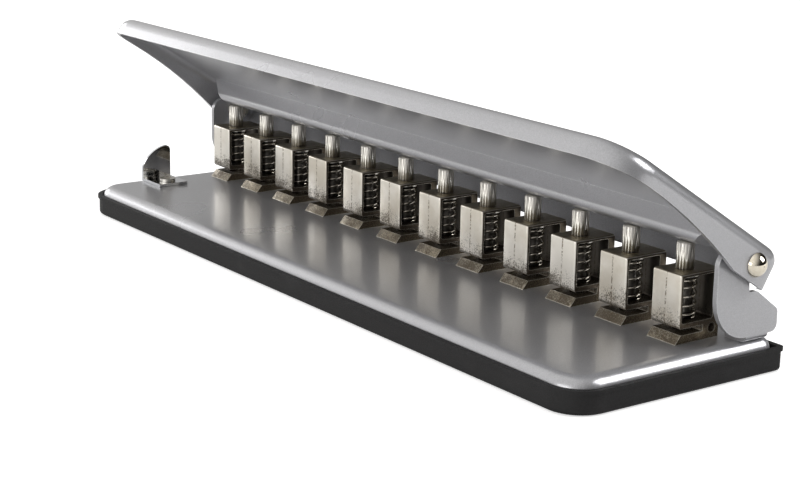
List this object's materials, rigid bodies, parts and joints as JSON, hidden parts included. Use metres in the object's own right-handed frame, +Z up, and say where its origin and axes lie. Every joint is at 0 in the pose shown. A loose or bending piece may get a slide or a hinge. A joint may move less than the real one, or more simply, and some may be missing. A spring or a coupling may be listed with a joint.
{
  "type": "lever hole punch",
  "caption": "Desk punch with a wide hinged lever that presses a row of spring-loaded punches through the edge of a loose-leaf sheet.",
  "frame": {"origin": "centre of the chip tray's underside", "axes": "+X along the row of heads, -Y towards the user and the sheet, +Z up"},
  "size_m": [0.328, 0.092, 0.0833],
  "materials": {
    "silver_paint": "semi-gloss silver paint",
    "tray_plastic": "matte black moulded",
    "die_cast_zinc": "nickel-plated die casting, oiled",
    "punch_steel": "ground steel",
    "spring_wire": "bright wire",
    "plated_steel": "zinc-plated",
    "rivet_nickel": "polished nickel",
    "mirror_steel": "mirror-polished"
  },
  "bodies": {
    "tray": {"chip_tray": "tray_plastic"},
    "frame": {"base_plate": "silver_paint", "bracket_left": "silver_paint", "bracket_right": "silver_paint", "bracket_rivets": "rivet_nickel", "pivot_pin_left": "rivet_nickel", "pivot_pin_right": "rivet_nickel", "pivot_washers": "plated_steel", "head_screws": "plated_steel", "guide_screw": "plated_steel", "head_frame_01": "die_cast_zinc", "head_frame_02": "die_cast_zinc", "head_frame_03": "die_cast_zinc", "head_frame_04": "die_cast_zinc", "head_frame_05": "die_cast_zinc", "head_frame_06": "die_cast_zinc", "head_frame_07": "die_cast_zinc", "head_frame_08": "die_cast_zinc", "head_frame_09": "die_cast_zinc", "head_frame_10": "die_cast_zinc", "head_frame_11": "die_cast_zinc", "head_frame_12": "die_cast_zinc", "return_spring_01": "spring_wire", "return_spring_02": "spring_wire", "return_spring_03": "spring_wire", "return_spring_04": "spring_wire", "return_spring_05": "spring_wire", "return_spring_06": "spring_wire", "return_spring_07": "spring_wire", "return_spring_08": "spring_wire", "return_spring_09": "spring_wire", "return_spring_10": "spring_wire", "return_spring_11": "spring_wire", "return_spring_12": "spring_wire"},
    "handle": {"handle": "silver_paint"},
    "guide": {"paper_guide": "mirror_steel"},
    "punch_01": {"punch_pin_01": "punch_steel", "pin_clip_01": "plated_steel"},
    "punch_02": {"punch_pin_02": "punch_steel", "pin_clip_02": "plated_steel"},
    "punch_03": {"punch_pin_03": "punch_steel", "pin_clip_03": "plated_steel"},
    "punch_04": {"punch_pin_04": "punch_steel", "pin_clip_04": "plated_steel"},
    "punch_05": {"punch_pin_05": "punch_steel", "pin_clip_05": "plated_steel"},
    "punch_06": {"punch_pin_06": "punch_steel", "pin_clip_06": "plated_steel"},
    "punch_07": {"punch_pin_07": "punch_steel", "pin_clip_07": "plated_steel"},
    "punch_08": {"punch_pin_08": "punch_steel", "pin_clip_08": "plated_steel"},
    "punch_09": {"punch_pin_09": "punch_steel", "pin_clip_09": "plated_steel"},
    "punch_10": {"punch_pin_10": "punch_steel", "pin_clip_10": "plated_steel"},
    "punch_11": {"punch_pin_11": "punch_steel", "pin_clip_11": "plated_steel"},
    "punch_12": {"punch_pin_12": "punch_steel", "pin_clip_12": "plated_steel"}
  },
  "joints": [
    {"name": "tray_release", "type": "slide", "parent": "tray", "child": "frame", "axis": [0, 0, 1], "range_m": [0, 0.02]},
    {"name": "handle_hinge", "type": "hinge", "parent": "frame", "child": "handle", "pos_m": [0, 0.0275, 0.0389], "axis": [1, 0, 0], "range_deg": [0, 26]},
    {"name": "guide_slide", "type": "slide", "parent": "frame", "child": "guide", "axis": [1, 0, 0], "range_m": [0, 0.0039]},
    {"name": "punch_slide_01", "type": "slide", "parent": "frame", "child": "punch_01", "axis": [0, 0, -1], "range_m": [0, 0.0051], "stiffness_N_per_m": 400, "springref_m": -0.008, "deforming": ["return_spring_01"]},
    {"name": "punch_slide_02", "type": "slide", "parent": "frame", "child": "punch_02", "axis": [0, 0, -1], "range_m": [0, 0.0051], "stiffness_N_per_m": 400, "springref_m": -0.008, "deforming": ["return_spring_02"]},
    {"name": "punch_slide_03", "type": "slide", "parent": "frame", "child": "punch_03", "axis": [0, 0, -1], "range_m": [0, 0.0051], "stiffness_N_per_m": 400, "springref_m": -0.008, "deforming": ["return_spring_03"]},
    {"name": "punch_slide_04", "type": "slide", "parent": "frame", "child": "punch_04", "axis": [0, 0, -1], "range_m": [0, 0.0051], "stiffness_N_per_m": 400, "springref_m": -0.008, "deforming": ["return_spring_04"]},
    {"name": "punch_slide_05", "type": "slide", "parent": "frame", "child": "punch_05", "axis": [0, 0, -1], "range_m": [0, 0.0051], "stiffness_N_per_m": 400, "springref_m": -0.008, "deforming": ["return_spring_05"]},
    {"name": "punch_slide_06", "type": "slide", "parent": "frame", "child": "punch_06", "axis": [0, 0, -1], "range_m": [0, 0.0051], "stiffness_N_per_m": 400, "springref_m": -0.008, "deforming": ["return_spring_06"]},
    {"name": "punch_slide_07", "type": "slide", "parent": "frame", "child": "punch_07", "axis": [0, 0, -1], "range_m": [0, 0.0051], "stiffness_N_per_m": 400, "springref_m": -0.008, "deforming": ["return_spring_07"]},
    {"name": "punch_slide_08", "type": "slide", "parent": "frame", "child": "punch_08", "axis": [0, 0, -1], "range_m": [0, 0.0051], "stiffness_N_per_m": 400, "springref_m": -0.008, "deforming": ["return_spring_08"]},
    {"name": "punch_slide_09", "type": "slide", "parent": "frame", "child": "punch_09", "axis": [0, 0, -1], "range_m": [0, 0.0051], "stiffness_N_per_m": 400, "springref_m": -0.008, "deforming": ["return_spring_09"]},
    {"name": "punch_slide_10", "type": "slide", "parent": "frame", "child": "punch_10", "axis": [0, 0, -1], "range_m": [0, 0.0051], "stiffness_N_per_m": 400, "springref_m": -0.008, "deforming": ["return_spring_10"]},
    {"name": "punch_slide_11", "type": "slide", "parent": "frame", "child": "punch_11", "axis": [0, 0, -1], "range_m": [0, 0.0051], "stiffness_N_per_m": 400, "springref_m": -0.008, "deforming": ["return_spring_11"]},
    {"name": "punch_slide_12", "type": "slide", "parent": "frame", "child": "punch_12", "axis": [0, 0, -1], "range_m": [0, 0.0051], "stiffness_N_per_m": 400, "springref_m": -0.008, "deforming": ["return_spring_12"]}
  ],
  "couplings": [
    {"joint": "punch_slide_01", "follows": "handle_hinge", "m_per_rad": 0.0112},
    {"joint": "punch_slide_02", "follows": "handle_hinge", "m_per_rad": 0.0112},
    {"joint": "punch_slide_03", "follows": "handle_hinge", "m_per_rad": 0.0112},
    {"joint": "punch_slide_04", "follows": "handle_hinge", "m_per_rad": 0.0112},
    {"joint": "punch_slide_05", "follows": "handle_hinge", "m_per_rad": 0.0112},
    {"joint": "punch_slide_06", "follows": "handle_hinge", "m_per_rad": 0.0112},
    {"joint": "punch_slide_07", "follows": "handle_hinge", "m_per_rad": 0.0112},
    {"joint": "punch_slide_08", "follows": "handle_hinge", "m_per_rad": 0.0112},
    {"joint": "punch_slide_09", "follows": "handle_hinge", "m_per_rad": 0.0112},
    {"joint": "punch_slide_10", "follows": "handle_hinge", "m_per_rad": 0.0112},
    {"joint": "punch_slide_11", "follows": "handle_hinge", "m_per_rad": 0.0112},
    {"joint": "punch_slide_12", "follows": "handle_hinge", "m_per_rad": 0.0112}
  ]
}
